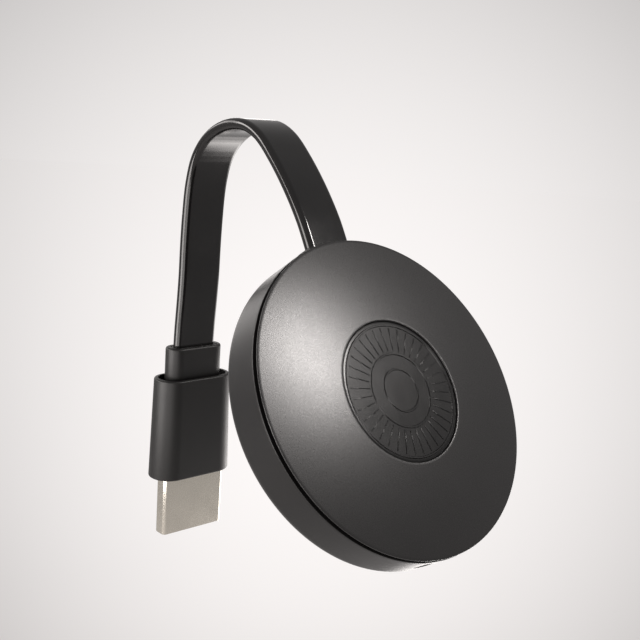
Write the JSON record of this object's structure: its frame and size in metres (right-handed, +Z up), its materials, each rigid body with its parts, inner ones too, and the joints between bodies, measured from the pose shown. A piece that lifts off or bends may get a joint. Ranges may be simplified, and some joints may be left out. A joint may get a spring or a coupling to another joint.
{
  "type": "wireless display dongle",
  "caption": "Round wireless display dongle with a domed front, a flat cable that arches over to a plug, a power socket and a sprung reset button.",
  "frame": {"origin": "middle of the tip of the plug, which is what holds the part in use", "axes": "+Z up along the plug, whose tip points down; +X from the plug towards the body's domed front; +Y across the flat cable"},
  "size_m": [0.073, 0.0522, 0.0815],
  "materials": {
    "cover_plastic": "satin, fine grain",
    "inlay_plastic": "satin",
    "shell_plastic": "satin",
    "sleeve_rubber": "soft matt",
    "clear_plastic": "clear",
    "board_laminate": "solder mask",
    "screw_steel": "zinc plated",
    "chip_resin": "matt",
    "shield_steel": "tin plated",
    "coil_ferrite": "matt",
    "capacitor_ceramic": "glazed",
    "pad_silicone": "soft matt",
    "spreader_aluminium": "brushed",
    "socket_steel": "plated",
    "socket_plastic": "matt",
    "contact_gold": "gold plated",
    "switch_plastic": "matt",
    "plunger_plastic": "matt",
    "button_plastic": "satin",
    "led_resin": "clear resin",
    "antenna_copper": "film coated",
    "cable_jacket": "satin",
    "header_nylon": "matt",
    "clamp_plastic": "matt",
    "grip_plastic": "satin",
    "plug_metal": "nickel plated",
    "plug_plastic": "matt"
  },
  "bodies": {
    "plug": {"plug_shell": "plug_metal", "plug_insulator": "plug_plastic", "plug_contacts": "contact_gold", "plug_board": "board_laminate", "plug_overmold": "grip_plastic", "cable_root": "cable_jacket", "plug_collar": "grip_plastic", "flat_cable": "cable_jacket"},
    "head": {"front_cover": "cover_plastic", "front_inlay": "inlay_plastic", "rear_shell": "shell_plastic", "exit_grommet": "sleeve_rubber", "light_pipe": "clear_plastic", "main_board": "board_laminate", "board_screws": "screw_steel", "processor_chip": "chip_resin", "memory_chip": "chip_resin", "storage_chip": "chip_resin", "power_chip": "chip_resin", "radio_module": "shield_steel", "power_coils": "coil_ferrite", "board_capacitors": "capacitor_ceramic", "clock_crystal": "shield_steel", "shield_frame": "shield_steel", "shield_lid": "shield_steel", "thermal_pads": "pad_silicone", "heat_spreader": "spreader_aluminium", "usb_shell": "socket_steel", "usb_tongue": "socket_plastic", "usb_contacts": "contact_gold", "switch_body": "switch_plastic", "status_led": "led_resin", "antenna_left": "antenna_copper", "antenna_right": "antenna_copper", "cable_tail": "cable_jacket", "cable_header": "header_nylon", "cable_clamp": "clamp_plastic", "clamp_screws": "screw_steel"},
    "button": {"reset_button": "button_plastic"},
    "plunger": {"switch_plunger": "plunger_plastic"}
  },
  "joints": [
    {"name": "cable_flex", "type": "hinge", "parent": "plug", "child": "head", "pos_m": [0.0134, 0, 0.0802], "axis": [0, 1, 0], "range_deg": [-45, 30], "stiffness_Nm_per_rad": 0.08, "springref_deg": -4.53, "deforming": ["flat_cable"]},
    {"name": "reset_press", "type": "slide", "parent": "head", "child": "button", "axis": [-0.4873, -0.4695, 0.7363], "range_m": [0, 0.0003], "stiffness_N_per_m": 2000},
    {"name": "switch_press", "type": "slide", "parent": "head", "child": "plunger", "axis": [-0.4873, -0.4695, 0.7363], "range_m": [0, 0.0003]}
  ],
  "couplings": [
    {"joint": "switch_press", "follows": "reset_press", "ratio": 1}
  ]
}
